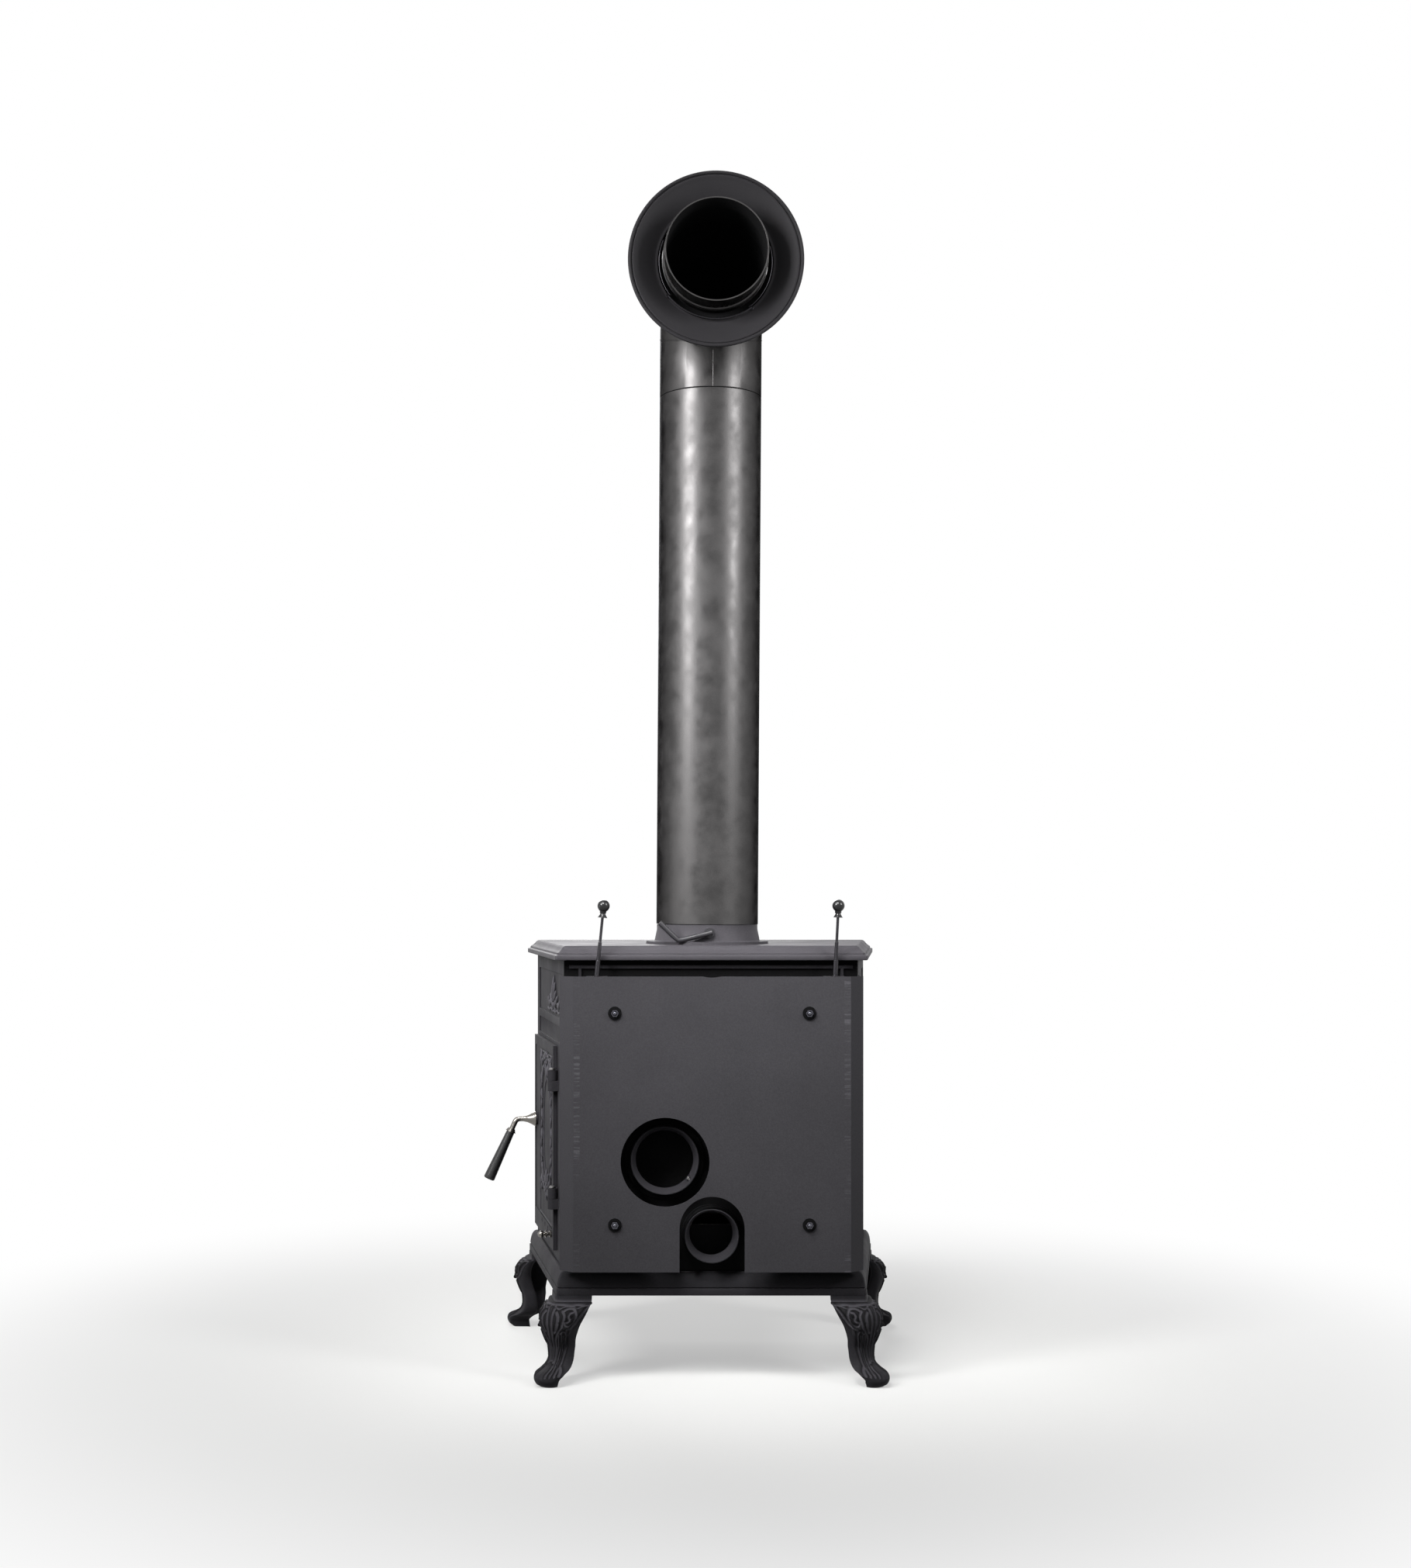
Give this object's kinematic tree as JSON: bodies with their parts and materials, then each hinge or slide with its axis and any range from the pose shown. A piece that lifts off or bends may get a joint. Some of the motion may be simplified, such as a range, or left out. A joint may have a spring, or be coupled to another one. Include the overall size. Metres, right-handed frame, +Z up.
{
  "type": "wood stove",
  "caption": "Small black cast-iron wood stove on cabriole legs, with a heat shield, a steel flue pipe, an elbow and a wall rosette.",
  "frame": {"origin": "on the floor, on the stove's centre plane, under the middle of the top plate's depth", "axes": "+X to the side with the side door, +Y to the rear, where the flue leaves, +Z up"},
  "size_m": [0.6504, 0.4973, 1.7108],
  "materials": {
    "cast_iron": "matte",
    "painted_sheet": "matte",
    "painted_pipe": "satin",
    "steel": "satin",
    "black_steel": "satin",
    "nickel": "gloss",
    "grip": "satin",
    "gloss_knob": "gloss",
    "glass": "gloss",
    "firebrick": "matte",
    "rope_seal": "matte"
  },
  "bodies": {
    "casing": {"base_casting": "cast_iron", "leg_rear_right": "cast_iron", "leg_rear_left": "cast_iron", "leg_front_right": "cast_iron", "leg_front_left": "cast_iron", "tie_rods": "steel", "leg_nuts": "steel", "left_side_panel": "cast_iron", "right_side_frame": "cast_iron", "rear_panel": "cast_iron", "front_frame": "cast_iron", "top_plate": "cast_iron", "flue_collar": "cast_iron", "collar_bolts": "steel", "rear_heat_shield": "painted_sheet", "shield_spacers": "steel", "shield_bolts": "black_steel", "large_air_inlet": "cast_iron", "inlet_screw": "steel", "small_air_inlet": "cast_iron", "shutter_guides": "painted_sheet", "rear_air_box": "painted_sheet", "firebricks_left": "firebrick", "firebricks_rear": "firebrick", "baffle_plate": "cast_iron", "grate_carrier": "cast_iron", "grate": "cast_iron", "log_retainer": "cast_iron", "side_hinge_pins": "steel", "front_hinge_pins": "steel", "flue_pipe": "painted_pipe"},
    "side_door_leaf": {"side_door": "cast_iron", "side_door_gasket": "rope_seal"},
    "side_handle": {"side_latch_spindle": "steel", "side_handle_stem": "nickel", "side_handle_grip": "grip"},
    "side_air_control": {"side_air_slide": "painted_sheet", "side_air_knob": "nickel"},
    "front_door_leaf": {"front_door": "cast_iron", "front_door_glass": "glass", "glass_clips": "steel", "front_door_gasket": "rope_seal"},
    "front_handle": {"front_latch_spindle": "steel", "front_handle_stem": "nickel", "front_handle_grip": "grip"},
    "ash_pan": {"ash_drawer": "painted_sheet", "ash_drawer_front": "cast_iron", "ash_drawer_knob": "nickel"},
    "right_air_control": {"right_air_shutter": "painted_sheet", "right_air_rod": "steel", "right_rod_knob": "gloss_knob"},
    "left_air_control": {"left_air_shutter": "painted_sheet", "left_air_rod": "steel", "left_rod_knob": "gloss_knob"},
    "flue_damper": {"damper_disc": "cast_iron", "damper_spindle": "steel"},
    "outlet_elbow": {"flue_elbow": "painted_pipe", "elbow_outlet": "painted_pipe"},
    "rosette": {"wall_rosette": "painted_pipe", "rosette_spring": "steel"}
  },
  "joints": [
    {"name": "side_door_swing", "type": "hinge", "parent": "casing", "child": "side_door_leaf", "pos_m": [0.22758, 0.10072, 0.333], "axis": [0, 0, 1], "range_deg": [0, 110]},
    {"name": "side_handle_turn", "type": "hinge", "parent": "side_door_leaf", "child": "side_handle", "pos_m": [0.25318, -0.13563, 0.339], "axis": [0.99, 0.1411, 0], "range_deg": [0, 90]},
    {"name": "side_air_slide", "type": "slide", "parent": "side_door_leaf", "child": "side_air_control", "axis": [0.1411, -0.99, 0], "range_m": [0, 0.022]},
    {"name": "front_door_swing", "type": "hinge", "parent": "casing", "child": "front_door_leaf", "pos_m": [-0.2076, -0.1865, 0.391], "axis": [0, 0, -1], "range_deg": [0, 110]},
    {"name": "front_handle_turn", "type": "hinge", "parent": "front_door_leaf", "child": "front_handle", "pos_m": [0.172, -0.1785, 0.391], "axis": [0, 1, 0], "range_deg": [0, 90]},
    {"name": "ash_drawer_slide", "type": "slide", "parent": "casing", "child": "ash_pan", "axis": [0, -1, 0], "range_m": [0, 0.2]},
    {"name": "right_air_lift", "type": "slide", "parent": "casing", "child": "right_air_control", "axis": [0, 0, 1], "range_m": [0, 0.02]},
    {"name": "left_air_lift", "type": "slide", "parent": "casing", "child": "left_air_control", "axis": [0, 0, 1], "range_m": [0, 0.02]},
    {"name": "damper_turn", "type": "hinge", "parent": "casing", "child": "flue_damper", "pos_m": [0, 0.057, 0.636], "axis": [0, -1, 0], "range_deg": [0, 90]},
    {"name": "elbow_swivel", "type": "hinge", "parent": "casing", "child": "outlet_elbow", "pos_m": [-0.00501, 0.057, 1.42397], "axis": [-0.0065, 0, 1], "range_deg": [-90, 90]},
    {"name": "rosette_slide", "type": "slide", "parent": "outlet_elbow", "child": "rosette", "axis": [0, 1, 0], "range_m": [-0.008, 0.018]}
  ]
}
